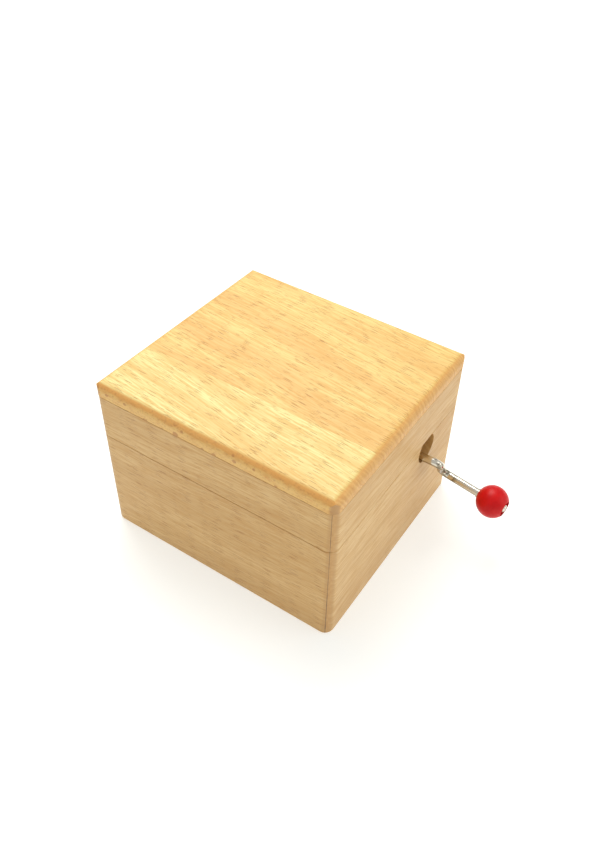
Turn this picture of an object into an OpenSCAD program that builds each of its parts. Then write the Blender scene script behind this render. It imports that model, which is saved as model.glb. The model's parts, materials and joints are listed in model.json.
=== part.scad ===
// Hand-cranked music box: a mitred beech box with a hinged lid, an 18-note
// comb-and-cylinder movement inside, and a bent wire crank with a round red knob.
// Millimetres, +Z up, origin at the centre of the box's underside.
// +X is the side the crank comes out of, -Y is the front, the hinges are at +Y.

/* [Box] */
// outside width, left to right
box_w = 70; // [68:0.5:76]
// outside depth, front to back
box_d = 64.5; // [62:0.5:72]
// outside height with the lid shut
box_h = 48.8; // [46:0.2:56]
// thickness of the walls and of the bottom board
wall = 7.5; // [7:0.1:7.8]
// height of the parting line between base and lid
seam_z = 32.1; // [31.8:0.1:34]
// gap left at the parting line by the hinge leaves
seam_gap = 0.1; // [0.06:0.02:0.3]
// radius of the four upright corners
corner_r = 2.6; // [1.5:0.1:4]
// radius round the bottom edge
foot_r = 0.8; // [0.3:0.1:1.2]
// small arris taken off the edges at the parting line
arris = 0.13; // [0.05:0.01:0.3]

/* [Top panel] */
// thickness of the board glued on top of the lid frame
panel_t = 3.8; // [3.2:0.1:4.5]
// radius worked along the panel's upper edges
panel_r = 2.1; // [1.2:0.1:2.5]
// radius of the panel's upright corners
panel_corner_r = 2.4; // [1.2:0.1:2.6]
// distance of the glue joint between its two boards from the front face
panel_joint = 18.5; // [12:0.5:40]

/* [Hinges] */
// distance of each hinge's middle from the middle of the box
hinge_x = 19; // [14:0.5:21]
// length of a hinge along its pin
hinge_w = 16; // [12:1:18]
// distance of the pin in from the back face
hinge_in = 1.5; // [1.3:0.1:1.8]
// radius of the hinge pin
hinge_pin_r = 0.5; // [0.4:0.05:0.6]

/* [Crank] */
// crank shaft's distance behind the middle of the box
crank_y = 12.2; // [12:0.1:12.6]
// crank shaft's height above the underside
crank_z = 26.7; // [26.4:0.1:27.2]
// radius of the wire the crank is bent from
wire_r = 1.08; // [0.9:0.02:1.12]
// radius of the hole bored in the right wall
notch_r = 4.15; // [4:0.05:4.6]
// how far the shaft runs out of the wall before it bends
crank_out = 2.45; // [2.2:0.05:6]
// direction of the crank arm round the shaft, degrees from straight back
crank_turn = -53.5; // [-180:0.5:180]
// straight length of the crank arm between its two bends
arm_len = 4.5; // [3:0.1:12]
// angle of each bend, degrees
bend_deg = 102; // [90:1:105]
// wire's centreline radius in each bend
bend_r = 2.4; // [2:0.1:3]
// straight length from the second bend to the knob's middle
handle_len = 13.45; // [10:0.1:18]
// how far the handle leans round the arm, degrees
handle_lean = 6.5; // [0:0.5:8]
// radius of the knob
bead_r = 4.4; // [4:0.1:5]

/* [Movement] */
// number of comb teeth, one for each note
notes = 18; // [12:1:18]
// spacing of the comb teeth
note_pitch = 1.04; // [0.9:0.01:1.04]
// radius of the pinned cylinder
drum_r = 6.5; // [6:0.1:6.6]
// height the pins stand above the cylinder
pin_h = 0.8; // [0.5:0.1:0.9]
// pins on each of the cylinder's note rows
pins_per_note = 6; // [3:1:8]

/* [Hidden] */
$fn = 48;

// small lift that makes one cut run clean through another face
eps = 0.01;
// base wall's top and lid wall's bottom
base_top = seam_z - seam_gap / 2;
lid_low = seam_z + seam_gap / 2;
panel_z = box_h - panel_t;
inner_w = box_w - 2 * wall;
inner_d = box_d - 2 * wall;

// wood colours and metal colours for the plain view
beech = [0.86, 0.70, 0.47];
beech_top = [0.93, 0.74, 0.46];
brass = [0.83, 0.66, 0.30];
steel = [0.72, 0.73, 0.75];
zinc = [0.62, 0.63, 0.65];
nickel = [0.80, 0.79, 0.75];
red = [0.80, 0.10, 0.10];

// hinge: pin line, knuckle, leaf and the chamfers that stop the lid
hinge_y = box_d / 2 - hinge_in;
knuckle_r = 1.1;
knuckle_room = 0.2;
knuckles = 5;
knuckle_gap = 0.15;
leaf_t = 0.6;
leaf_d = 5.2;
leaf_room = 0.1;
pocket_room = 0.2;
pin_play = 0.05;
pin_head_r = 0.78;
pin_head_t = 0.3;
chamfer_deg = 49;
chamfer_run = 4;
hinge_screw_x = 5;
hinge_screw_y = 3.5;
hinge_screw_r = 0.55;
hinge_screw_head_r = 1.15;
hinge_screw_len = 5;

// movement: where its pieces stand
floor_top = wall;
bed_t = 2.5;
bed_top = floor_top + bed_t;
bed_x = 25;
bed_y0 = -16;
bed_y1 = 18.2;
cyl_x = 11;
// the worm drive is a standard part: 20 teeth of module 0.6
wheel_teeth = 20;
gear_m = 0.6;
pitch_r = wheel_teeth * gear_m / 2;
worm_pitch_r = 2.3;
gear_reach = pitch_r + worm_pitch_r;
cyl_z = crank_z - gear_reach;
drum_y = 9.7;
drum_wall = 0.7;
cap_t = 1.2;
spacer_r = 2.2;
spacer_gap = 0.3;
wheel_hub_r = 4;
fit_gap = 0.02;
arbor_r = 1.0;
arbor_end = 0.5;
bush_bore = arbor_r + 0.05;
bush_r = 1.9;
bush_flange_r = 2.7;
bush_flange_t = 0.5;
post_half = 4.2;
post_front = -15.8;
post_back = 14.9;
post_front_t = 2.9;
post_back_t = 2.7;

// windows through the bedplate under the cylinder and under the comb's teeth
window_w = 11;
window_d = 17;
window_x = [cyl_x, -4];

// comb
comb_t = 1.8;
tooth_t = 0.7;
comb_top = cyl_z + 0.6;
comb_seat = comb_top - comb_t;
comb_x0 = -23.6;
tooth_root_x = -12.6;
seat_lip = 0.2;
seat_len = tooth_root_x - comb_x0 - 0.6;
tooth_step = 0.26;
tooth_gap = 0.26;
tip_x = cyl_x - drum_r - pin_h - 0.1;
tip_w = 0.44;
tip_len = 1.3;
comb_side = 0.45;
comb_half = notes * note_pitch / 2 + comb_side;
comb_screw_x = -18.6;
comb_screw_y = 5.4;
comb_screw_r = 1.1;
comb_screw_bite = 4.4;
weight_teeth = 9;
weight_len = 2.6;

// worm and wheel teeth
press_deg = 20;
addendum = gear_m;
dedendum = 1.25 * gear_m;
axial_pitch = PI * gear_m;
flank_play = 0.1;
worm_turns = 3.6;
worm_len = worm_turns * axial_pitch;
worm_hub_r = 2.1;
wheel_w = 3;
lead_deg = atan(axial_pitch / (2 * PI * worm_pitch_r));
wheel_twist = wheel_w * tan(lead_deg) / pitch_r * 180 / PI;

// brackets that carry the crank shaft
ear_t = 0.8;
ear_in = 8;
ear_half = 2.6;
ear_play = 0.05;
foot_len = 6.1;
foot_screw = 3.9;
foot_y1 = crank_y + 5.2;
bracket_screw_r = 0.8;
bracket_screw_ys = [crank_y - 1.0, crank_y + 3.3];

// screws that hold the movement down, from under the bottom board
mount_screws = [[-21.2, -12.6], [-21.2, 14.6], [20.4, -12.2]];
mount_screw_r = 1.3;
mount_head_r = 2.6;
mount_head_h = 1.4;
mount_sink = 0.4;
boss_r = 2.8;
boss_h = 1.6;

// the hole in the right wall is bored a little behind and above the shaft
hole_back = 1.25;
hole_up = 2.2;

// crank
bend_x = box_w / 2 + crank_out;
shaft_x0 = cyl_x - ear_in - ear_t - 1.2;
end_bevel = 0.3;
bead_play = 0.08;
recess_r = 2.2;
recess_deep = 1.3;
// distance of the recess's rim from the middle of the knob
recess_rim = sqrt(pow(bead_r, 2) - pow(recess_r, 2));
rivet_play = 0.05;
rivet_r = 1.5;
rivet_t = 0.45;
// how far the wire's end stands out past the recess's rim, and the dimple punched in it
wire_proud = 0.12;
dimple_r = 0.45;
dimple_deep = 0.3;
collar_r = 1.3;
collar_w = 0.6;
collar_out = 0.1;
collar_play = 0.15;
// the wire draws a hair thinner in its bends, and the straight runs lap over them
bend_thin = 0.008;
bend_lap = 0.06;

// ---------- the box ----------

// points of a wall's outer face from bottom to top, as [depth, height]
function face_points(z0, z1, low_r, low_c, high_c) = concat(
    low_r > 0 ? [for (i = [0 : 5]) let (a = i * 18)
        [low_r * (1 - sin(a)), z0 + low_r * (1 - cos(a))]]
    : [[low_c, z0], [0, z0 + low_c]],
    [[0, z1 - high_c], [high_c, z1]]);

// one 45 degree half of a rounded upright corner
module corner_half(pts, z0, z1, turn) {
    rotate([0, 0, turn]) rotate_extrude(angle = 45)
        polygon(concat([[0, z0]], [for (p = pts) [corner_r - p[0], p[1]]], [[0, z1]]));
}

// a wall along X, its outer face on y = 0, mitred at both ends
module mitred_wall(len, z0, z1, low_r, low_c, high_c) {
    pts = face_points(z0, z1, low_r, low_c, high_c);
    mid = len - 2 * corner_r;
    intersection() {
        translate([-mid / 2, 0, 0]) rotate([90, 0, 90]) linear_extrude(mid)
            polygon(concat(pts, [[wall, z1], [wall, z0]]));
        translate([0, 0, z0 - 1]) linear_extrude(z1 - z0 + 2)
            polygon([[-len / 2, 0], [len / 2, 0], [len / 2 - wall, wall], [wall - len / 2, wall]]);
    }
    translate([mid / 2, corner_r, 0]) corner_half(pts, z0, z1, -90);
    translate([-mid / 2, corner_r, 0]) corner_half(pts, z0, z1, -135);
}

module base_wall(len) {
    mitred_wall(len, 0, base_top, foot_r, 0, arris);
}

module lid_wall(len) {
    mitred_wall(len, lid_low, panel_z, 0, arris, arris);
}

// wedge cut along the back so that the lid stops when the two chamfers meet
module back_chamfer(up) {
    drop = chamfer_run * tan(chamfer_deg);
    translate([0, hinge_y, seam_z]) scale([1, 1, up])
        translate([-box_w / 2 - 1, 0, 0]) rotate([90, 0, 90]) linear_extrude(box_w + 2)
            polygon([[0, 0], [chamfer_run, drop], [chamfer_run, -1], [0, -1]]);
}

// room for the knuckles and a mortise for the leaf; up is 1 in the lid, -1 in the base
module hinge_pocket(up) {
    half = hinge_w / 2 + pin_head_t + pocket_room;
    for (sx = [-1, 1]) translate([sx * hinge_x, hinge_y, seam_z]) {
        x_rod(knuckle_r + knuckle_room, -half, half);
        scale([1, 1, up]) translate([-hinge_w / 2 - leaf_room, -leaf_d - leaf_room, -1])
            cube([hinge_w + 2 * leaf_room, leaf_d + leaf_room, 1 + seam_gap / 2 + leaf_t]);
        for (dx = [-1, 1]) translate([dx * hinge_screw_x, -hinge_screw_y, 0])
            scale([1, 1, up]) cylinder(r = hinge_screw_r, h = hinge_screw_len + pocket_room);
    }
}

module base_front_wall() {
    color(beech) translate([0, -box_d / 2, 0]) base_wall(box_w);
}

module base_back_wall() {
    color(beech) difference() {
        translate([0, box_d / 2, 0]) rotate([0, 0, 180]) base_wall(box_w);
        back_chamfer(-1);
        hinge_pocket(-1);
    }
}

module base_left_wall() {
    color(beech) difference() {
        translate([-box_w / 2, 0, 0]) rotate([0, 0, -90]) base_wall(box_d);
        back_chamfer(-1);
    }
}

// the crank's hole breaks out of the top edge, so the shaft drops in from above
module base_right_wall() {
    color(beech) difference() {
        translate([box_w / 2, 0, 0]) rotate([0, 0, 90]) base_wall(box_d);
        back_chamfer(-1);
        translate([box_w / 2 - wall - 1, crank_y + hole_back, crank_z + hole_up])
            rotate([0, 90, 0]) cylinder(r = notch_r, h = wall + 2);
    }
}

module base_floor() {
    color(beech) difference() {
        translate([-inner_w / 2, -inner_d / 2, 0]) cube([inner_w, inner_d, floor_top]);
        for (p = mount_screws) translate([p[0], p[1], -eps]) {
            cylinder(r = mount_screw_r + 0.05, h = floor_top + 1);
            cylinder(r = mount_head_r + 0.05, h = mount_sink + eps);
            translate([0, 0, mount_sink]) cylinder(r1 = mount_head_r + 0.05,
                r2 = mount_screw_r + 0.05, h = mount_head_h);
        }
    }
}

module lid_front_wall() {
    color(beech) translate([0, -box_d / 2, 0]) lid_wall(box_w);
}

module lid_back_wall() {
    color(beech) difference() {
        translate([0, box_d / 2, 0]) rotate([0, 0, 180]) lid_wall(box_w);
        back_chamfer(1);
        hinge_pocket(1);
    }
}

module lid_left_wall() {
    color(beech) difference() {
        translate([-box_w / 2, 0, 0]) rotate([0, 0, -90]) lid_wall(box_d);
        back_chamfer(1);
    }
}

module lid_right_wall() {
    color(beech) difference() {
        translate([box_w / 2, 0, 0]) rotate([0, 0, 90]) lid_wall(box_d);
        back_chamfer(1);
    }
}

// bar with the panel's cross-section, rounded along its two upper edges
module panel_bar(width, run) {
    half = width / 2;
    rotate([90, 0, 90]) linear_extrude(run, center = true) {
        for (s = [-1, 1]) translate([s * (half - panel_r), box_h - panel_r]) circle(panel_r);
        polygon([[-half, panel_z + arris], [arris - half, panel_z],
            [half - arris, panel_z], [half, panel_z + arris],
            [half, box_h - panel_r], [half - panel_r, box_h],
            [panel_r - half, box_h], [-half, box_h - panel_r]]);
    }
}

// block with the panel's outline, rounded at its four upright corners
module panel_plan() {
    long_x = box_w / 2 - panel_corner_r;
    long_y = box_d / 2 - panel_corner_r;
    translate([-box_w / 2, -long_y, panel_z]) cube([box_w, 2 * long_y, panel_t]);
    translate([-long_x, -box_d / 2, panel_z]) cube([2 * long_x, box_d, panel_t]);
    for (sx = [-1, 1], sy = [-1, 1])
        translate([sx * long_x, sy * long_y, panel_z]) cylinder(r = panel_corner_r, h = panel_t);
}

// the panel before it is divided into its two boards
module panel_blank() {
    intersection() {
        panel_bar(box_d, box_w);
        rotate([0, 0, 90]) panel_bar(box_w, box_d);
        panel_plan();
    }
}

// side is 1 for the wide board at the back, -1 for the narrow one along the front
module panel_board(side) {
    joint_y = panel_joint - box_d / 2;
    color(beech_top) intersection() {
        panel_blank();
        translate([-box_w / 2 - 1, side > 0 ? joint_y : joint_y - box_d, panel_z - 1])
            cube([box_w + 2, box_d, panel_t + 2]);
    }
}

// ---------- the hinges ----------

module x_rod(r, x0, x1) {
    translate([x0, 0, 0]) rotate([0, 90, 0]) cylinder(r = r, h = x1 - x0);
}

// screw hole with its countersink, through a leaf lying on z = 0 and below
module leaf_holes() {
    for (dx = [-1, 1]) translate([dx * hinge_screw_x, -hinge_screw_y, 0]) {
        translate([0, 0, -leaf_t - 1]) cylinder(r = hinge_screw_r + fit_gap, h = leaf_t + 2);
        translate([0, 0, fit_gap - leaf_t]) cylinder(r1 = hinge_screw_r + fit_gap,
            r2 = hinge_screw_head_r + 2 * fit_gap, h = leaf_t);
    }
}

// a leaf with its share of the knuckles: first = 0 takes the outer ones, 1 the rest
module leaf(first, bore) {
    seg = hinge_w / knuckles;
    difference() {
        union() {
            translate([-hinge_w / 2, -leaf_d, -leaf_t - seam_gap / 2])
                cube([hinge_w, leaf_d, leaf_t]);
            for (i = [first : 2 : knuckles - 1])
                x_rod(knuckle_r, -hinge_w / 2 + i * seg + knuckle_gap / 2,
                    -hinge_w / 2 + (i + 1) * seg - knuckle_gap / 2);
        }
        for (i = [1 - first : 2 : knuckles - 1])
            x_rod(knuckle_r + knuckle_room, -hinge_w / 2 + i * seg - knuckle_gap / 2,
                -hinge_w / 2 + (i + 1) * seg + knuckle_gap / 2);
        x_rod(bore, -hinge_w, hinge_w);
        translate([0, 0, -seam_gap / 2]) leaf_holes();
    }
}

module base_leaf(side) {
    color(brass) translate([side * hinge_x, hinge_y, seam_z]) leaf(0, hinge_pin_r + fit_gap);
}

module lid_leaf(side) {
    color(brass) translate([side * hinge_x, hinge_y, seam_z]) scale([1, 1, -1])
        leaf(1, hinge_pin_r + pin_play);
}

module hinge_pin(side) {
    half = hinge_w / 2;
    color(brass) translate([side * hinge_x, hinge_y, seam_z]) {
        x_rod(hinge_pin_r, -half, half);
        x_rod(pin_head_r, half, half + pin_head_t);
        x_rod(pin_head_r, -half - pin_head_t, -half);
    }
}

// small countersunk wood screw, its head's top on z = 0, pointing down
module hinge_screw() {
    tip_h = 1;
    slot_w = 0.28;
    slot_deep = 0.25;
    difference() {
        union() {
            translate([0, 0, -leaf_t])
                cylinder(r1 = hinge_screw_r, r2 = hinge_screw_head_r, h = leaf_t);
            translate([0, 0, tip_h - hinge_screw_len])
                cylinder(r = hinge_screw_r, h = hinge_screw_len - leaf_t - tip_h);
            translate([0, 0, -hinge_screw_len])
                cylinder(r1 = 0.15, r2 = hinge_screw_r, h = tip_h);
        }
        translate([-2, -slot_w / 2, -slot_deep]) cube([4, slot_w, 1]);
    }
}

module hinge_screw_set(up) {
    color(brass) for (sx = [-1, 1], dx = [-1, 1])
        translate([sx * hinge_x + dx * hinge_screw_x, hinge_y - hinge_screw_y, seam_z])
            scale([1, 1, -up]) translate([0, 0, -seam_gap / 2]) rotate([0, 0, 35 * dx * sx])
                hinge_screw();
}

// ---------- the movement's frame ----------

module y_rod(r, y0, y1) {
    translate([0, y0, 0]) rotate([-90, 0, 0]) cylinder(r = r, h = y1 - y0);
}

// upright with a round top that carries one end of the cylinder's arbor
module arbor_post(y0, t) {
    rise = cyl_z - bed_top;
    translate([cyl_x, y0, 0]) difference() {
        union() {
            translate([-post_half, 0, bed_top - eps]) cube([2 * post_half, t, rise + eps]);
            translate([0, 0, cyl_z]) y_rod(post_half, 0, t);
        }
        translate([0, 0, cyl_z]) y_rod(bush_r, -1, t + 1);
    }
}

module bed_outline() {
    r = 3;
    hull() for (x = [r - bed_x, bed_x - r], y = [bed_y0 + r, bed_y1 - r])
        translate([x, y]) circle(r = r, $fn = 32);
}

module bedplate() {
    color(zinc) difference() {
        union() {
            translate([0, 0, floor_top]) linear_extrude(bed_t) difference() {
                bed_outline();
                for (x = window_x) translate([x - window_w / 2, -window_d / 2])
                    square([window_w, window_d]);
            }
            translate([comb_x0 - seat_lip, -comb_half - 0.3, bed_top - eps])
                cube([seat_len, 2 * comb_half + 0.6, comb_seat - bed_top + eps]);
            arbor_post(post_front, post_front_t);
            arbor_post(post_back, post_back_t);
            for (p = mount_screws) translate([p[0], p[1], bed_top - eps])
                cylinder(r = boss_r, h = boss_h);
        }
        for (p = mount_screws) translate([p[0], p[1], 0])
            cylinder(r = mount_screw_r, h = bed_top + boss_h + 1);
        for (sy = [-1, 1])
            translate([comb_screw_x, sy * comb_screw_y, comb_seat - comb_screw_bite - 0.6])
                cylinder(r = comb_screw_r, h = 6);
        for (p = bracket_screw_spots()) translate([p[0], p[1], floor_top - 1])
            cylinder(r = bracket_screw_r, h = bed_t + 2);
        for (sy = [-1, 1]) translate([comb_x0 + 2, sy * (comb_half + 0.3) - 1, bed_top + 1.2])
            cube([seat_len - 4.4, 2, comb_seat - bed_top - 2.6]);
    }
}

// screw from under the bottom board into the bedplate
module mounting_screws() {
    tip = bed_top + boss_h + 0.3;
    cross_half = 1.4;
    cross_w = 0.56;
    cross_deep = 0.75;
    color(steel) for (p = mount_screws) translate([p[0], p[1], mount_sink]) difference() {
        union() {
            cylinder(r1 = mount_head_r, r2 = mount_screw_r, h = mount_head_h);
            translate([0, 0, mount_head_h])
                cylinder(r = mount_screw_r, h = tip - mount_sink - mount_head_h);
        }
        for (a = [0, 90]) rotate([0, 0, a + p[1] * 3]) translate([-cross_half, -cross_w / 2, -1])
            cube([2 * cross_half, cross_w, cross_deep + 1]);
    }
}

// ---------- the comb ----------

function note_y(i) = (i - (notes - 1) / 2) * note_pitch;

// where the gaps between teeth end: the low notes have the longest teeth
function root_x(i) = tooth_root_x + i * tooth_step;

// strip of width w cut from x to beyond the tips, its middle on y
module comb_cut(x, y, w) {
    translate([x, y - w / 2]) square([50, w]);
}

module comb_plan() {
    shoulder = 10;
    difference() {
        translate([comb_x0, -comb_half]) square([tip_x - comb_x0, 2 * comb_half]);
        for (i = [0 : notes]) {
            comb_cut(root_x(i), note_y(i) - note_pitch / 2, tooth_gap);
            comb_cut(tip_x - tip_len, note_y(i) - note_pitch / 2, note_pitch - tip_w);
        }
        for (s = [-1, 1]) comb_cut(tooth_root_x,
            s * (comb_half - comb_side + (shoulder + tooth_gap) / 2), shoulder);
        comb_holes();
    }
}

module comb_holes() {
    for (sy = [-1, 1]) translate([comb_screw_x, sy * comb_screw_y])
        circle(r = comb_screw_r + 0.1);
}

module comb() {
    color(steel) {
        translate([0, 0, comb_top - tooth_t]) linear_extrude(tooth_t) comb_plan();
        translate([0, 0, comb_seat]) linear_extrude(comb_t - tooth_t + eps) difference() {
            translate([comb_x0, -comb_half])
                square([tooth_root_x - comb_x0 - 0.8, 2 * comb_half]);
            comb_holes();
        }
    }
}

// lead weights under the longest teeth, deeper for the lower notes
module comb_weights() {
    w = note_pitch - tooth_gap - 0.1;
    color(zinc * 0.6) for (i = [0 : weight_teeth - 1]) let (deep = 2.6 - 0.2 * i)
        translate([tip_x - tip_len - weight_len, note_y(i) - w / 2, comb_top - tooth_t - deep])
            cube([weight_len - 0.15 * i, w, deep]);
}

// slotted cheese-head screw, the underside of its head on z = 0
module cheese_screw(r, head_r, head_h, len, turn) {
    bevel = 0.2;
    slot_w = 0.5;
    slot_deep = 0.6;
    rotate([0, 0, turn]) difference() {
        union() {
            cylinder(r = head_r, h = head_h - bevel);
            translate([0, 0, head_h - bevel])
                cylinder(r1 = head_r, r2 = head_r - bevel, h = bevel);
            translate([0, 0, -len]) cylinder(r = r, h = len + eps);
        }
        translate([-head_r - 1, -slot_w / 2, head_h - slot_deep])
            cube([2 * head_r + 2, slot_w, 1]);
    }
}

module comb_screws() {
    color(steel) for (sy = [-1, 1]) translate([comb_screw_x, sy * comb_screw_y, comb_top])
        cheese_screw(comb_screw_r, 2.3, 1.5, comb_t + comb_screw_bite, 25 + 40 * sy);
}

// ---------- the cylinder ----------

module bushing(y0, y1, flange_y) {
    color(brass) translate([cyl_x, 0, cyl_z]) difference() {
        union() {
            y_rod(bush_r, y0, y1);
            y_rod(bush_flange_r, flange_y, flange_y + bush_flange_t);
        }
        y_rod(bush_bore, y0 - 2, y1 + 2);
    }
}

module bushing_front() {
    bushing(post_front - bush_flange_t, post_front + post_front_t, post_front - bush_flange_t);
}

module bushing_back() {
    bushing(post_back, post_back + post_back_t + bush_flange_t, post_back + post_back_t);
}

module cylinder_drum() {
    color(brass) translate([cyl_x, 0, cyl_z]) difference() {
        y_rod(drum_r, -drum_y, drum_y);
        y_rod(drum_r - drum_wall, -drum_y - 1, drum_y + 1);
    }
}

// the tune: a rolling pattern of pins round each note's row
function pin_deg(i, k) = k * 360 / pins_per_note + (i * 47 + k * k * 13 + (i % 3) * 20) % 50;

module cylinder_pins() {
    sink = 0.3;
    color(steel) translate([cyl_x, 0, cyl_z]) for (i = [0 : notes - 1], k = [0 : pins_per_note - 1])
        translate([0, note_y(i), 0]) rotate([0, pin_deg(i, k), 0])
            translate([drum_r - sink, 0, 0]) rotate([0, 90, 0])
                cylinder(r = 0.2, h = pin_h + sink, $fn = 6);
}

module cylinder_cap() {
    color(brass) translate([cyl_x, 0, cyl_z]) difference() {
        union() {
            y_rod(drum_r - drum_wall - fit_gap, -drum_y, cap_t - drum_y);
            y_rod(spacer_r, post_front + post_front_t + spacer_gap, eps - drum_y);
        }
        y_rod(arbor_r + fit_gap / 2, -20, 20);
    }
}

module cylinder_arbor() {
    y0 = post_front - bush_flange_t - arbor_end;
    y1 = post_back + post_back_t + bush_flange_t + arbor_end;
    color(steel) translate([cyl_x, 0, cyl_z]) y_rod(arbor_r, y0, y1);
}

// ---------- worm and wheel ----------

function involute(b, t) = [b * (cos(t) + t * PI / 180 * sin(t)), b * (sin(t) - t * PI / 180 * cos(t))];

// angle of roll at which the involute of base radius b reaches radius r
function roll_at(b, r) = r <= b ? 0 : sqrt(pow(r / b, 2) - 1) * 180 / PI;

function spin(p, a) = [p[0] * cos(a) - p[1] * sin(a), p[0] * sin(a) + p[1] * cos(a)];

// half of one tooth, from root to tip, turned so that the tooth is centred on 0
function half_tooth(base, r0, r1, half) = let (n = 4, t0 = roll_at(base, r0), t1 = roll_at(base, r1),
    tp = roll_at(base, pitch_r), ip = involute(base, tp), shift = -half - atan2(ip[1], ip[0]))
    [for (i = [0 : n]) spin(involute(base, t0 + (t1 - t0) * i / n), shift)];

module wheel_plan() {
    base = pitch_r * cos(press_deg);
    root = pitch_r - dedendum;
    tip = pitch_r + addendum;
    half = (axial_pitch / 2 - flank_play) / 2 / pitch_r * 180 / PI;
    side = half_tooth(base, root, tip, half);
    foot = spin([root, 0], atan2(side[0][1], side[0][0]));
    low = concat([foot], side);
    high = [for (i = [len(low) - 1 : -1 : 0]) [low[i][0], -low[i][1]]];
    polygon([for (k = [0 : wheel_teeth - 1], p = concat(low, high))
        spin(p, 360 / wheel_teeth * (k + 0.5))]);
}

// the wheel's plug closes the cylinder's back end
module cylinder_wheel() {
    color(brass) translate([cyl_x, 0, cyl_z]) difference() {
        union() {
            translate([0, crank_y - wheel_w / 2, 0]) rotate([-90, -wheel_twist / 2, 0])
                linear_extrude(wheel_w, twist = -wheel_twist, slices = 4) wheel_plan();
            y_rod(drum_r - drum_wall - fit_gap, drum_y - cap_t, drum_y);
            y_rod(wheel_hub_r, drum_y - eps, crank_y - wheel_w / 2 + eps);
            y_rod(spacer_r, crank_y + wheel_w / 2 - eps, post_back - spacer_gap);
        }
        y_rod(arbor_r + fit_gap / 2, 0, 30);
    }
}

// radius of the worm at a distance u along the thread from the thread's middle
function worm_rad(u) = let (half = (axial_pitch / 2 - flank_play) / 2)
    max(worm_pitch_r - dedendum, min(worm_pitch_r + addendum,
        worm_pitch_r + (half - abs(u)) / tan(press_deg)));

module worm() {
    steps = 28;
    start = cyl_x - worm_len / 2;
    phase = -90 - 180 * worm_turns;
    color(nickel) translate([0, crank_y, crank_z]) difference() {
        union() {
            translate([start, 0, 0]) rotate([90, 0, 90]) rotate([0, 0, phase])
                linear_extrude(worm_len, twist = -360 * worm_turns, slices = 20 * worm_turns)
                    polygon([for (i = [0 : steps - 1])
                        let (t = i / steps - 0.5, r = worm_rad(t * axial_pitch))
                            [r * cos(t * 360), r * sin(t * 360)]]);
            x_rod(worm_hub_r, cyl_x - ear_in + 0.1, start + eps);
            x_rod(worm_hub_r, start + worm_len - eps, cyl_x + ear_in - 0.1);
        }
        x_rod(wire_r + fit_gap / 2, 0, 40);
    }
}

// ---------- brackets of the crank shaft ----------

function bracket_screw_x(side) = cyl_x + side * (ear_in + foot_screw);
function bracket_screw_spots() = [for (s = [-1, 1], y = bracket_screw_ys) [bracket_screw_x(s), y]];

// bent from strip: a foot on the bedplate and an ear with the shaft's bearing hole
module bracket(side) {
    color(steel) translate([cyl_x, 0, 0]) scale([side, 1, 1]) difference() {
        union() {
            translate([ear_in, crank_y - ear_half, bed_top]) {
                cube([foot_len, foot_y1 - crank_y + ear_half, ear_t]);
                cube([ear_t, 2 * ear_half, crank_z - bed_top]);
            }
            translate([0, crank_y, crank_z]) x_rod(ear_half, ear_in, ear_in + ear_t);
        }
        translate([0, crank_y, crank_z]) x_rod(wire_r + ear_play, 0, 20);
        for (y = bracket_screw_ys) translate([ear_in + foot_screw, y, bed_top - 1])
            cylinder(r = bracket_screw_r + ear_play, h = 4);
    }
}

module bracket_screws() {
    color(steel) for (p = bracket_screw_spots()) translate([p[0], p[1], bed_top + ear_t])
        cheese_screw(bracket_screw_r, 1.5, 1.1, ear_t + bed_t - 0.4, 20 + 31 * p[1]);
}

// ---------- the crank ----------

// quarter-like bend starting along +X at the origin; side is 1 towards +Y, -1 towards -Y
module wire_bend(side) {
    translate([0, side * bend_r, 0]) rotate([0, 0, side > 0 ? -90 : 90 - bend_deg])
        rotate_extrude(angle = bend_deg) translate([bend_r, 0]) circle(r = wire_r - bend_thin);
}

// moves children to the end of that bend and turns them to its direction
module after_bend(side) {
    translate([bend_r * sin(bend_deg), side * bend_r * (1 - cos(bend_deg)), 0])
        rotate([0, 0, side * bend_deg]) children();
}

// the handle's frame: origin at its start, +X along the handle
module at_handle() {
    translate([bend_x, crank_y, crank_z]) rotate([crank_turn, 0, 0])
        after_bend(1) translate([arm_len, 0, 0]) rotate([handle_lean, 0, 0])
            after_bend(-1) children();
}

module crank_wire() {
    rivet_x = handle_len + recess_rim - recess_deep + rivet_play;
    wire_end_x = handle_len + recess_rim + wire_proud;
    collar_x = handle_len - bead_r - collar_out;
    color(nickel) {
        translate([0, crank_y, crank_z]) {
            x_rod(wire_r, shaft_x0 + end_bevel, bend_x + bend_lap);
            translate([shaft_x0, 0, 0]) rotate([0, 90, 0])
                cylinder(r1 = wire_r - end_bevel, r2 = wire_r, h = end_bevel);
        }
        translate([bend_x, crank_y, crank_z]) rotate([crank_turn, 0, 0]) {
            wire_bend(1);
            after_bend(1) {
                x_rod(wire_r, -bend_lap, arm_len + bend_lap);
                translate([arm_len, 0, 0]) rotate([handle_lean, 0, 0]) wire_bend(-1);
            }
        }
        at_handle() {
            x_rod(wire_r, -bend_lap, wire_end_x - end_bevel);
            x_rod(collar_r, collar_x, collar_x + collar_w);
            x_rod(rivet_r, rivet_x, rivet_x + rivet_t);
            translate([wire_end_x, 0, 0]) rotate([0, -90, 0]) difference() {
                cylinder(r1 = wire_r - end_bevel, r2 = wire_r, h = end_bevel);
                translate([0, 0, -eps]) cylinder(r1 = dimple_r, r2 = 0.1, h = dimple_deep);
            }
        }
    }
}

module crank_bead() {
    color(red) at_handle() translate([handle_len, 0, 0]) difference() {
        rotate([0, 90, 0]) sphere(r = bead_r, $fn = 64);
        x_rod(wire_r + bead_play, -bead_r - 1, bead_r + 1);
        x_rod(recess_r, recess_rim - recess_deep, bead_r + 1);
        x_rod(collar_r + collar_play, -bead_r - 1, collar_w - collar_out + collar_play + 0.1 - bead_r);
    }
}

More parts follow.
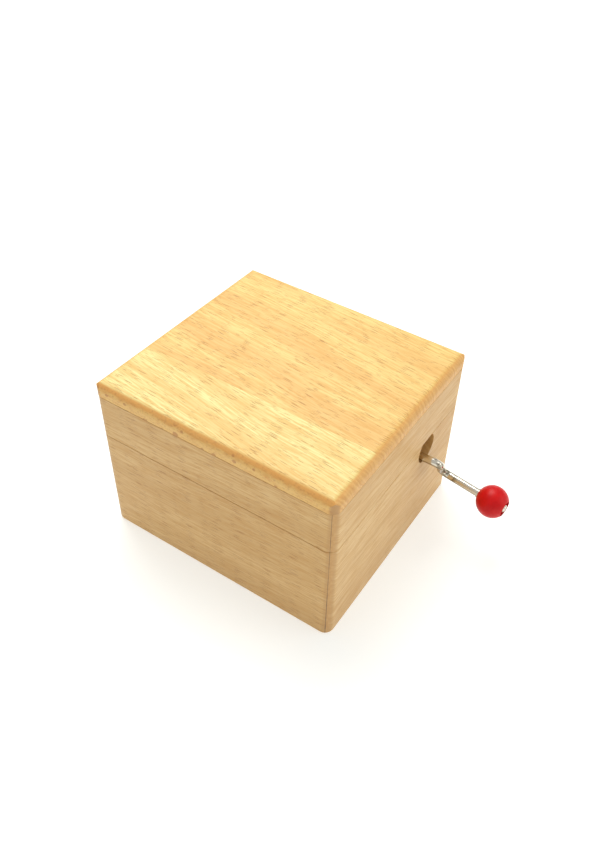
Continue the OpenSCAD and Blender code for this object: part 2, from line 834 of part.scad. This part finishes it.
base_front_wall();
base_back_wall();
base_left_wall();
base_right_wall();
base_floor();
lid_front_wall();
lid_back_wall();
lid_left_wall();
lid_right_wall();
panel_board(1);  // lid_top_back_board
panel_board(-1);  // lid_top_front_board
base_leaf(-1);  // hinge_left_base_leaf
lid_leaf(-1);  // hinge_left_lid_leaf
hinge_pin(-1);  // hinge_left_pin
base_leaf(1);  // hinge_right_base_leaf
lid_leaf(1);  // hinge_right_lid_leaf
hinge_pin(1);  // hinge_right_pin
hinge_screw_set(-1);  // hinge_base_screws
hinge_screw_set(1);  // hinge_lid_screws
bedplate();
mounting_screws();
comb();
comb_weights();
comb_screws();
bushing_front();
bushing_back();
bracket(-1);  // bracket_left
bracket(1);  // bracket_right
bracket_screws();
cylinder_drum();
cylinder_pins();
cylinder_cap();
cylinder_wheel();
cylinder_arbor();
worm();
crank_wire();
crank_bead();
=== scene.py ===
"""Looks of the hand-crank music box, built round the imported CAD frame.

Metres, in the CAD's frame: +X is the side the crank comes out of, -Y the front,
+Z up, the origin under the middle of the box. Textures work in millimetres.
"""

import json

import bpy
from mathutils import Matrix, Vector


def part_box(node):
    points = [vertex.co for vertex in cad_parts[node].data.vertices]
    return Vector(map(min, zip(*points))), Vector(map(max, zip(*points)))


MM = 0.001
X_AXIS = (1.0, 0.0, 0.0)
Y_AXIS = (0.0, 1.0, 0.0)
Z_AXIS = (0.0, 0.0, 1.0)

# ---------- frame ----------

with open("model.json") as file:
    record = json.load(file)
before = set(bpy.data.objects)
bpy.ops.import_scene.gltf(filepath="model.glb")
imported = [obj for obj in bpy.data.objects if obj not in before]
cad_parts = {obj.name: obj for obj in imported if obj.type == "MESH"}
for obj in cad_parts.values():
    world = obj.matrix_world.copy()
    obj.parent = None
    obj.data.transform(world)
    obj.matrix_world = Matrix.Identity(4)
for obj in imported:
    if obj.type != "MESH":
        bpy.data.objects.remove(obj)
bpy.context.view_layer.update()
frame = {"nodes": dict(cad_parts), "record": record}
nodes = frame["nodes"]
record = frame["record"]

# Half the box's width and depth, and its height, in millimetres.
wall_lo, wall_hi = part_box("base_front_wall")
HALF_W = wall_hi.x / MM
HALF_D = -wall_lo.y / MM
BOX_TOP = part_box("lid_top_back_board")[1].z / MM

# ---------- node helpers ----------


class Shader:
    """One material's node tree, written with short calls. Values are sockets or numbers."""

    def __init__(self, name):
        self.material = bpy.data.materials.new(name)
        self.material.use_nodes = True
        self.tree = self.material.node_tree
        self.tree.nodes.clear()
        self.bsdf = self.add("ShaderNodeBsdfPrincipled")
        output = self.add("ShaderNodeOutputMaterial")
        self.tree.links.new(self.bsdf.outputs["BSDF"], output.inputs["Surface"])
        coordinates = self.add("ShaderNodeTexCoord")
        self.normal = coordinates.outputs["Normal"]
        self.position = self.vector("SCALE", coordinates.outputs["Object"], scale=1 / MM)

    def add(self, kind, **settings):
        node = self.tree.nodes.new(kind)
        for key, value in settings.items():
            setattr(node, key, value)
        return node

    def put(self, value, socket):
        """Links a socket, or sets a number or tuple as the socket's own value."""
        if isinstance(value, bpy.types.NodeSocket):
            self.tree.links.new(value, socket)
        elif value is not None:
            socket.default_value = value

    def math(self, operation, a, b=None, c=None):
        node = self.add("ShaderNodeMath", operation=operation)
        for value, socket in zip((a, b, c), node.inputs):
            self.put(value, socket)
        return node.outputs[0]

    def vector(self, operation, a, b=None, scale=None):
        node = self.add("ShaderNodeVectorMath", operation=operation)
        self.put(a, node.inputs[0])
        self.put(b, node.inputs[1])
        if scale is not None:
            node.inputs["Scale"].default_value = scale
        scalar = operation in ("DOT_PRODUCT", "LENGTH", "DISTANCE")
        return node.outputs["Value" if scalar else "Vector"]

    def split(self, vector):
        node = self.add("ShaderNodeSeparateXYZ")
        self.put(vector, node.inputs[0])
        return node.outputs[0], node.outputs[1], node.outputs[2]

    def join(self, x, y, z):
        node = self.add("ShaderNodeCombineXYZ")
        for value, socket in zip((x, y, z), node.inputs):
            self.put(value, socket)
        return node.outputs[0]

    def smooth(self, value, low, high, start=0.0, end=1.0):
        """Goes smoothly from start to end as value goes from low to high."""
        node = self.add("ShaderNodeMapRange", interpolation_type="SMOOTHSTEP", clamp=True)
        for given, socket in zip((value, low, high, start, end), node.inputs):
            self.put(given, socket)
        return node.outputs["Result"]

    def mix(self, factor, a, b):
        """Goes from colour a to colour b as the factor goes from 0 to 1."""
        node = self.add("ShaderNodeMix", data_type="RGBA", clamp_factor=True)
        self.put(factor, node.inputs["Factor"])
        for value, socket in ((a, node.inputs[6]), (b, node.inputs[7])):
            self.put((*value, 1.0) if isinstance(value, tuple) else value, socket)
        return node.outputs[2]

    def noise(self, vector, detail=2.0, roughness=0.5):
        """Cloudy noise from about 0 to 1, with one lump for each unit of the vector."""
        node = self.add("ShaderNodeTexNoise")
        self.put(vector, node.inputs["Vector"])
        self.put(1.0, node.inputs["Scale"])
        self.put(detail, node.inputs["Detail"])
        self.put(roughness, node.inputs["Roughness"])
        return node.outputs[0]

    def cells(self, x, y):
        """Distance to the nearest point scattered on a plane, and that point's random number."""
        node = self.add("ShaderNodeTexVoronoi", voronoi_dimensions="2D")
        self.put(self.join(x, y, 0.0), node.inputs["Vector"])
        self.put(1.0, node.inputs["Scale"])
        colour = self.add("ShaderNodeSeparateColor")
        self.put(node.outputs["Color"], colour.inputs[0])
        return node.outputs["Distance"], colour.outputs[0]

    def bump(self, height, depth_mm, strength=0.5):
        node = self.add("ShaderNodeBump")
        self.put(strength, node.inputs["Strength"])
        self.put(depth_mm * MM, node.inputs["Distance"])
        self.put(height, node.inputs["Height"])
        self.put(node.outputs[0], self.bsdf.inputs["Normal"])

    def finish(self, colour, roughness, **sockets):
        """Sets the surface. Other shader inputs are given by name, with _ for a space."""
        self.put(colour, self.bsdf.inputs["Base Color"])
        self.put(roughness, self.bsdf.inputs["Roughness"])
        for name, value in sockets.items():
            self.put(value, self.bsdf.inputs[name.replace("_", " ")])
        return self.material


# ---------- wood ----------

PORE = (0.34, 0.125, 0.022)
END_LIGHT = (0.82, 0.49, 0.165)
END_DARK = (0.68, 0.36, 0.105)
# Brown of the rounded upright corners: part end grain, part painted shade.
CORNER_GRAIN_AND_SHADE = (0.44, 0.24, 0.095)
EDGE_ORANGE = (0.70, 0.33, 0.08)
EDGE_PALE = (0.80, 0.485, 0.148)
RAY_BROWN = (0.50, 0.22, 0.065)
GLUE_LINE = (0.10, 0.06, 0.035)

WANDER = 5.0  # how far the streaks wander across a board, in millimetres

# How the dashes of the cut rays and pores lie, in millimetres: see Grain.dashes.
LONG_DASH = {"length": 8.0, "width": 0.46, "size": -0.03, "spread": 0.24, "seed": 17.0}
SHORT_DASH = {"length": 4.8, "width": 0.36, "size": -0.04, "spread": 0.25, "seed": 41.0}

# Where the heart of the tree lay from a board, across the box from its middle and below its
# top, and how far apart the rings are, in millimetres. A wall's heart lies across by its
# shift, within WALL_PITH_RANGE.
PANEL_PITH_ACROSS = -46.0
PANEL_PITH_DEPTH = 15.0
PANEL_RING_SPACING = 0.8
WALL_PITH_DEPTH = 80.0
WALL_RING_SPACING = 1.1
WALL_PITH_RANGE = 9.0


def scaled(colour, *factors):
    """A colour with each of its channels multiplied by its own factor."""
    return tuple(c * k for c, k in zip(colour, factors))


def facing(s, axis):
    """1 where the surface faces along the axis (either way), 0 where it runs along it."""
    return s.math("ABSOLUTE", s.vector("DOT_PRODUCT", s.normal, axis))


class Grain:
    """Coordinates of one board, unrolled over its faces, all in millimetres."""

    def __init__(self, s, along_x, shift, slope):
        x, y, self.z = s.split(s.position)
        self.s = s
        self.shift = shift
        self.axis = X_AXIS if along_x else Y_AXIS
        self.side = y if along_x else x
        self.along = s.math("ADD", x if along_x else y, shift * 10.0)
        below = s.math("SUBTRACT", self.z, BOX_TOP)
        flat = s.math("ADD", self.side, below)
        outward = s.math("SIGN", self.side)
        turned = s.math("SUBTRACT", self.side, s.math("MULTIPLY", outward, below))
        self.across = s.math("MULTIPLY_ADD", self.along, -slope, flat)
        self.unrolled = s.math("MULTIPLY_ADD", self.along, -slope * 0.5, turned)
        # The streaks wander across the board. The dashes follow them only in part.
        drift = s.noise(self.stretched(0.02, 0.05, 0.0), detail=1.0)
        drift = s.math("MULTIPLY", s.math("SUBTRACT", drift, 0.5), WANDER)
        self.across = s.math("ADD", self.across, drift)
        self.unrolled = s.math("ADD", self.unrolled, s.math("MULTIPLY", drift, 0.6))

    def stretched(self, along, across, seed):
        """The board's plane, scaled along and across the grain; seed moves the pattern."""
        s = self.s
        return s.join(
            s.math("MULTIPLY", self.along, along),
            s.math("MULTIPLY_ADD", self.across, across, seed),
            self.shift + seed,
        )

    def dashes(self, length, width, size, spread, seed):
        """Fine dark dashes of the cut rays and pores: 1 on a dash, 0 off it.

        length and width are the room for one dash. size is the least that a dash reaches
        from its middle, below 0 for one that is left out, and spread what chance adds."""
        s = self.s
        distance, chance = s.cells(
            s.math("MULTIPLY", self.along, 1 / length),
            s.math("MULTIPLY_ADD", self.unrolled, 1 / width, seed),
        )
        reach = s.math("MULTIPLY_ADD", chance, spread, size)
        return s.smooth(s.math("SUBTRACT", reach, distance), 0.0, 0.07)

    def end_rings(self, pith_across, pith_depth, spacing):
        """Growth rings on the end of the board, arching round a pith outside it."""
        s = self.s
        from_pith = s.join(
            0.0,
            s.math("SUBTRACT", self.side, pith_across),
            s.math("SUBTRACT", self.z, BOX_TOP - pith_depth),
        )
        wander = s.noise(s.vector("SCALE", s.position, scale=0.22), detail=2.0)
        radius = s.math("MULTIPLY_ADD", wander, 3.0, s.vector("LENGTH", from_pith))
        rings = s.noise(s.join(s.math("MULTIPLY", radius, 1.0 / spacing), 0.0, 0.0), detail=2.0)
        return s.smooth(rings, 0.36, 0.64)


def mitre_distance(s):
    """How far along a face the nearest of the four mitres is, in millimetres."""
    x, y, _ = s.split(s.position)
    from_side = s.math("SUBTRACT", HALF_W, s.math("ABSOLUTE", x))
    from_face = s.math("SUBTRACT", HALF_D, s.math("ABSOLUTE", y))
    return s.math("ABSOLUTE", s.math("SUBTRACT", from_side, from_face))


def mitre_line(s, colour):
    """The glued mitre: a thin dark line, a little more open towards the bottom."""
    _, _, height = s.split(s.position)
    gap = s.noise(s.vector("SCALE", s.position, scale=0.35), detail=2.0)
    width = s.smooth(height, 26.0, 2.0, 0.12, 0.24)
    width = s.math("MULTIPLY", width, s.smooth(gap, 0.2, 0.7, 0.5, 1.3))
    line = s.smooth(mitre_distance(s), 0.0, width, 0.85, 0.0)
    return s.mix(line, colour, GLUE_LINE)


def panel_edges(s, grain, colour):
    """The top panel's worked edge: orange on the round, ray ovals on the upright band."""
    flat = facing(s, Z_AXIS)
    front_or_back = facing(s, Y_AXIS)
    patch = s.noise(s.join(s.math("MULTIPLY", grain.along, 0.30), grain.z, 0.0), detail=3.0)
    upright = s.math("MULTIPLY_ADD", patch, 0.7, front_or_back)
    edge = s.mix(s.smooth(upright, 1.12, 1.38), EDGE_ORANGE, EDGE_PALE)
    fleck = s.noise(
        s.join(s.math("MULTIPLY", grain.along, 1.6), s.math("MULTIPLY", grain.z, 2.2), 3.0)
    )
    edge = s.mix(s.smooth(fleck, 0.50, 0.72, 0.0, 0.55), edge, RAY_BROWN)
    colour = s.mix(s.smooth(flat, 0.99, 0.80, 0.0, 0.88), colour, edge)

    spot, chance = s.cells(
        s.math("MULTIPLY", grain.along, 0.34), s.math("MULTIPLY", grain.z, 0.40)
    )
    reach = s.math("MULTIPLY_ADD", chance, 0.40, -0.07)
    oval = s.smooth(s.math("SUBTRACT", reach, spot), 0.0, 0.08)
    band = s.smooth(front_or_back, 0.55, 0.85)
    return s.mix(s.math("MULTIPLY", s.math("MULTIPLY", oval, band), 0.8), colour, RAY_BROWN)


def end_grain(s, grain, colour, panel):
    """End grain: darker and redder, with growth rings and open pores."""
    if panel:
        ring = grain.end_rings(PANEL_PITH_ACROSS, PANEL_PITH_DEPTH, PANEL_RING_SPACING)
    else:
        pith_across = grain.shift % WALL_PITH_RANGE
        ring = grain.end_rings(pith_across, WALL_PITH_DEPTH, WALL_RING_SPACING)
    end_colour = s.mix(ring, END_DARK, END_LIGHT)
    dots = s.noise(s.vector("SCALE", s.position, scale=4.0), detail=3.0, roughness=0.8)
    end_colour = s.mix(s.smooth(dots, 0.48, 0.75, 0.0, 0.45), end_colour, PORE)
    end = s.smooth(facing(s, grain.axis), 0.25, 0.75)
    return s.mix(s.math("MULTIPLY", end, 0.8), colour, end_colour)


def beech(name, along_x, pale, tan, shift, fleck, band=(0.012, 0.16), slope=0.0,
          panel=False, mitred=False):
    """Beech with its grain along X or Y. pale and tan are the ends of its colour range,
    shift picks its piece of the pattern, fleck is the strength of its dashes, band the
    fineness of its streaks along and across, slope their drift across the board."""
    s = Shader(name)
    grain = Grain(s, along_x, shift, slope)

    streak = s.noise(grain.stretched(*band, 3.0))
    colour = s.mix(s.smooth(streak, 0.36, 0.64), pale, tan)
    fibre = s.noise(grain.stretched(0.13, 2.3, 11.0), detail=3.0, roughness=0.6)
    colour = s.mix(s.smooth(fibre, 0.36, 0.66, 0.0, 0.70), colour, scaled(tan, 0.88, 0.74, 0.54))

    short_dash = s.math("MULTIPLY", grain.dashes(**SHORT_DASH), 0.85)
    dash = s.math("MAXIMUM", grain.dashes(**LONG_DASH), short_dash)
    colour = s.mix(s.math("MULTIPLY", dash, fleck), colour, PORE)
    if panel:
        colour = panel_edges(s, grain, colour)
    colour = end_grain(s, grain, colour, panel)

    # The rounded upright corners are browner: partly the end grain cut by the round, partly
    # painted shade and dark reflection.
    corner_grain_and_shade_mask = s.math("MULTIPLY", facing(s, X_AXIS), facing(s, Y_AXIS))
    corner_grain_and_shade_mask = s.smooth(corner_grain_and_shade_mask, 0.12, 0.46, 0.0, 0.75 if panel else 0.5)
    colour = s.mix(corner_grain_and_shade_mask, colour, CORNER_GRAIN_AND_SHADE)
    if mitred:
        colour = mitre_line(s, colour)

    s.bump(s.math("SUBTRACT", s.math("MULTIPLY", fibre, 0.5), dash), 0.03)
    gloss = s.smooth(fibre, 0.2, 0.8, 0.40, 0.55)
    return s.finish(colour, gloss, Specular_IOR_Level=0.42)


WALL_PALE = (0.74, 0.50, 0.22)
WALL_TAN = (0.66, 0.42, 0.17)
FRONT_WALL_PALE = (0.71, 0.465, 0.19)
FRONT_WALL_TAN = (0.63, 0.39, 0.145)
BACK_BOARD_PALE = (0.80, 0.60, 0.205)
BACK_BOARD_TAN = (0.755, 0.475, 0.15)
# The front board is paler and yellower than the back board: partly lighter wood, partly a
# painted highlight across the front half of the top.
FRONT_BOARD_PALE_AND_HIGHLIGHT = (0.81, 0.70, 0.28)
FRONT_BOARD_TAN_AND_HIGHLIGHT = (0.77, 0.54, 0.18)


def wood_materials():
    """The boards of the box, each with its own run of grain."""
    walls = (WALL_PALE, WALL_TAN)
    front_wall = (FRONT_WALL_PALE, FRONT_WALL_TAN)
    back_board = (BACK_BOARD_PALE, BACK_BOARD_TAN)
    front_board = (FRONT_BOARD_PALE_AND_HIGHLIGHT, FRONT_BOARD_TAN_AND_HIGHLIGHT)
    return {
        "front": beech("beech_front", True, *front_wall, shift=3.1, fleck=0.70,
                       slope=0.03, mitred=True),
        "back": beech("beech_back", True, *walls, shift=47.3, fleck=0.62,
                      slope=-0.02, mitred=True),
        "left": beech("beech_left", False, *walls, shift=71.9, fleck=0.45, mitred=True),
        "right": beech("beech_right", False, *walls, shift=19.4, fleck=0.30,
                       slope=-0.02, mitred=True),
        "floor": beech("beech_floor", True, *walls, shift=88.2, fleck=0.45),
        "back_board": beech("beech_back_board", True, *back_board, shift=27.7, fleck=0.80,
                            band=(0.02, 0.11), slope=-0.10, panel=True),
        "front_board": beech("beech_front_board", True, *front_board, shift=61.2, fleck=0.75,
                             band=(0.015, 0.20), slope=-0.13, panel=True),
    }


# ---------- metal and plastic ----------

NICKEL = (0.74, 0.69, 0.58)
NICKEL_UNDERSIDE_REFLECTION = (0.27, 0.18, 0.08)
NICKEL_BEND_DARK_REFLECTION = (0.20, 0.16, 0.10)
BRASS_TARNISH = (0.45, 0.28, 0.12)
RED = (0.63, 0.005, 0.005)
RED_DEEP = (0.55, 0.003, 0.004)

# Where the wire's dents and their painted dark reflections fade in and out, in millimetres out
# from the wall.
CREASE_START = (1.5, 3.0)
CREASE_END = (10.5, 8.0)


def metal(name, colour, roughness, grain, tarnish=(0.4, 0.3, 0.2), wear=0.25,
          scratch_depth=0.01):
    """Metal with fine marks. grain scales the marks along each axis: a small number makes
    long lines that way. tarnish is the colour of its stains and wear how much of it shows.
    scratch_depth is in millimetres."""
    s = Shader(name)
    lines = s.noise(s.vector("MULTIPLY", s.position, grain), detail=5.0, roughness=0.65)
    cloud = s.noise(s.vector("SCALE", s.position, scale=0.35), detail=3.0, roughness=0.6)
    tint = s.mix(s.smooth(cloud, 0.42, 0.80, 0.0, wear), colour, tarnish)
    rough = s.smooth(lines, 0.25, 0.8, roughness * 0.75, roughness * 1.35)
    s.bump(lines, scratch_depth)
    return s.finish(tint, rough, Metallic=1.0)


def nickel_wire():
    """Nickel-plated wire: a painted brown reflection underneath, and dents where it is bent,
    darkened with a painted dark reflection.
    """
    s = Shader("nickel_wire")
    marks = s.noise(s.vector("SCALE", s.position, scale=0.55))
    lines = s.noise(s.vector("MULTIPLY", s.position, (0.4, 5.0, 5.0)), detail=3.0)
    up = s.vector("DOT_PRODUCT", s.normal, Z_AXIS)
    # Painted reflection: the downward face of the wire is coloured brown, as if it mirrored the
    # wood and floor below.
    painted_underside_reflection = s.smooth(up, 0.25, -0.35, 0.0, 0.92)
    colour = s.mix(painted_underside_reflection, NICKEL, NICKEL_UNDERSIDE_REFLECTION)
    out, _, _ = s.split(s.position)
    arm = s.math(
        "MULTIPLY",
        s.smooth(out, *(HALF_W + reach for reach in CREASE_START)),
        s.smooth(out, *(HALF_W + reach for reach in CREASE_END)),
    )
    # Painted reflection: dark patches on the bent part, where the flattened bends mirror dark
    # surroundings; the dents themselves are in the bump.
    painted_bend_darkening = s.math("MULTIPLY", s.smooth(marks, 0.53, 0.60), arm)
    colour = s.mix(s.math("MULTIPLY", painted_bend_darkening, 0.8), colour, NICKEL_BEND_DARK_REFLECTION)
    height = s.math("MULTIPLY_ADD", s.math("MULTIPLY", marks, arm), 8.0, lines)
    s.bump(height, 0.02)
    return s.finish(colour, s.smooth(lines, 0.3, 0.7, 0.14, 0.26), Metallic=1.0)


def metal_materials():
    """One material for each of the record's metal slots."""
    return {
        "nickel": nickel_wire(),
        "comb_steel": metal("comb_steel", (0.62, 0.63, 0.65), 0.30, (0.4, 9.0, 9.0)),
        "screw_steel": metal("screw_steel", (0.66, 0.66, 0.64), 0.30, (3.0, 3.0, 3.0)),
        "bracket_steel": metal("bracket_steel", (0.70, 0.70, 0.68), 0.28, (0.8, 6.0, 6.0)),
        "pin_steel": metal("pin_steel", (0.68, 0.68, 0.68), 0.25, (4.0, 4.0, 4.0)),
        "cast_zinc": metal("cast_zinc", (0.52, 0.53, 0.54), 0.46, (2.2, 2.2, 2.2),
                           tarnish=(0.30, 0.30, 0.30), wear=0.5, scratch_depth=0.05),
        "brass": metal("turned_brass", (0.80, 0.60, 0.28), 0.24, (0.6, 14.0, 0.6),
                       tarnish=BRASS_TARNISH, wear=0.4),
        "worm_brass": metal("worm_brass", (0.82, 0.64, 0.34), 0.22, (14.0, 0.6, 0.6),
                            tarnish=BRASS_TARNISH, wear=0.4),
        "hinge_brass": metal("hinge_brass", (0.84, 0.64, 0.28), 0.22, (0.7, 8.0, 8.0),
                             tarnish=(0.48, 0.30, 0.12), wear=0.45),
        "lead": metal("lead", (0.24, 0.25, 0.27), 0.55, (2.5, 2.5, 2.5),
                      tarnish=(0.12, 0.12, 0.13), wear=0.6, scratch_depth=0.03),
    }


def red_plastic():
    """The knob: satin red, a little uneven, with a fine moulded skin."""
    s = Shader("red_plastic")
    cloud = s.noise(s.vector("SCALE", s.position, scale=0.6), detail=3.0)
    fine = s.noise(s.vector("SCALE", s.position, scale=9.0), detail=3.0, roughness=0.7)
    colour = s.mix(s.smooth(cloud, 0.3, 0.7), RED, RED_DEEP)
    s.bump(fine, 0.006, 0.4)
    return s.finish(colour, s.smooth(fine, 0.3, 0.8, 0.34, 0.46), Specular_IOR_Level=0.22)


# ---------- giving the CAD nodes their materials ----------

WOOD_OF = {
    "base_front_wall": "front",
    "lid_front_wall": "front",
    "base_back_wall": "back",
    "lid_back_wall": "back",
    "base_left_wall": "left",
    "lid_left_wall": "left",
    "base_right_wall": "right",
    "lid_right_wall": "right",
    "base_floor": "floor",
    "lid_top_back_board": "back_board",
    "lid_top_front_board": "front_board",
}


def dress_nodes():
    """Every CAD node gets the material of its board, or of the record's slot for it."""
    wood = wood_materials()
    others = {**metal_materials(), "red_plastic": red_plastic()}
    slots = {part["node"]: part["material_slot"] for part in record["subparts"]}
    for name, node in nodes.items():
        material = wood[WOOD_OF[name]] if name in WOOD_OF else others[slots[name]]
        for slot in node.material_slots:
            slot.material = material


# ---------- floor, light and camera ----------

FLOOR_HALF = 5.0  # metres
FLOOR_Z = 0.03 * MM  # just over the box's own underside, so that the wood shows from below
FLOOR_LAP = 1.5  # how far the floor runs in under the box's edges, in millimetres
FLOOR_COLOUR = (0.60, 0.62, 0.61, 1.0)
FLOOR_GLOW = (1.0, 0.995, 0.955, 1.0)
FLOOR_GLOW_STRENGTH = 0.56
AIM_AT = Vector((0, 0, 0.025))  # the middle of the box, where the lights point
KEY_LIGHT = {"at": (-0.25, 0.22, 0.62), "size": 0.45, "power": 4.0, "colour": (1.0, 0.99, 0.97)}
FILL_LIGHT = {"at": (0.60, 0.22, 0.35), "size": 0.5, "power": 0.8, "colour": (1.0, 1.0, 1.0)}
WORLD_STRENGTH = 0.58
CAMERA_AT = Vector((91.5, -132.8, 179.5)) * MM
CAMERA_RIGHT = Vector((0.8483, 0.5270, 0.0516))
CAMERA_FORWARD = Vector((-0.3701, 0.6598, -0.6540))
SENSOR = 36.0
LENS = 34.43
SHIFT = (-0.052, -0.041)


def light_table(name):
    """A pale sweep that glows a little, so that shadows on it stay pale."""
    s = Shader(name)
    return s.finish(
        FLOOR_COLOUR, 0.8, Specular_IOR_Level=0.1,
        Emission_Color=FLOOR_GLOW, Emission_Strength=FLOOR_GLOW_STRENGTH,
    )


def make_floor():
    """A wide plane with an opening under the box, so that the underside can be seen."""
    mesh = bpy.data.meshes.new("floor")
    inner_x = (HALF_W - FLOOR_LAP) * MM
    inner_y = (HALF_D - FLOOR_LAP) * MM
    corners = []
    for half_x, half_y in ((FLOOR_HALF, FLOOR_HALF), (inner_x, inner_y)):
        for side_x, side_y in ((-1, -1), (1, -1), (1, 1), (-1, 1)):
            corners.append((side_x * half_x, side_y * half_y, FLOOR_Z))
    faces = [(i, (i + 1) % 4, (i + 1) % 4 + 4, i + 4) for i in range(4)]
    mesh.from_pydata(corners, [], faces)
    floor = bpy.data.objects.new("floor", mesh)
    bpy.context.scene.collection.objects.link(floor)
    mesh.materials.append(light_table("white_sweep"))


def area_light(name, at, size, power, colour):
    """A square soft box at a place in metres, aimed at the music box."""
    data = bpy.data.lights.new(name, "AREA")
    data.shape = "SQUARE"
    data.size = size
    data.energy = power
    data.color = colour
    light = bpy.data.objects.new(name, data)
    light.location = at
    aim = AIM_AT - Vector(at)
    light.rotation_mode = "QUATERNION"
    light.rotation_quaternion = aim.to_track_quat("-Z", "Y")
    bpy.context.scene.collection.objects.link(light)


def make_lights():
    """A large soft key from the back left, a weak fill from the right and an even world."""
    area_light("key", **KEY_LIGHT)
    area_light("fill", **FILL_LIGHT)
    world = bpy.data.worlds.new("studio")
    bpy.context.scene.world = world
    world.use_nodes = True
    background = world.node_tree.nodes["Background"]
    background.inputs["Color"].default_value = (1.0, 1.0, 1.0, 1.0)
    background.inputs["Strength"].default_value = WORLD_STRENGTH


def make_camera():
    """A camera over the box's near corner; its shift moves the picture, not the view."""
    data = bpy.data.cameras.new("camera")
    data.sensor_fit = "AUTO"
    data.sensor_width = SENSOR
    data.lens = LENS
    data.shift_x, data.shift_y = SHIFT
    camera = bpy.data.objects.new("camera", data)
    back = -CAMERA_FORWARD.normalized()
    right = (CAMERA_RIGHT - CAMERA_RIGHT.dot(back) * back).normalized()
    up = back.cross(right)
    camera.matrix_world = Matrix.LocRotScale(
        CAMERA_AT, Matrix((right, up, back)).transposed(), None
    )
    bpy.context.scene.collection.objects.link(camera)
    bpy.context.scene.camera = camera


def make_stage():
    """Everything round the object, with plain colour management."""
    make_floor()
    make_lights()
    make_camera()
    bpy.context.scene.view_settings.view_transform = "Standard"


make_stage()
dress_nodes()
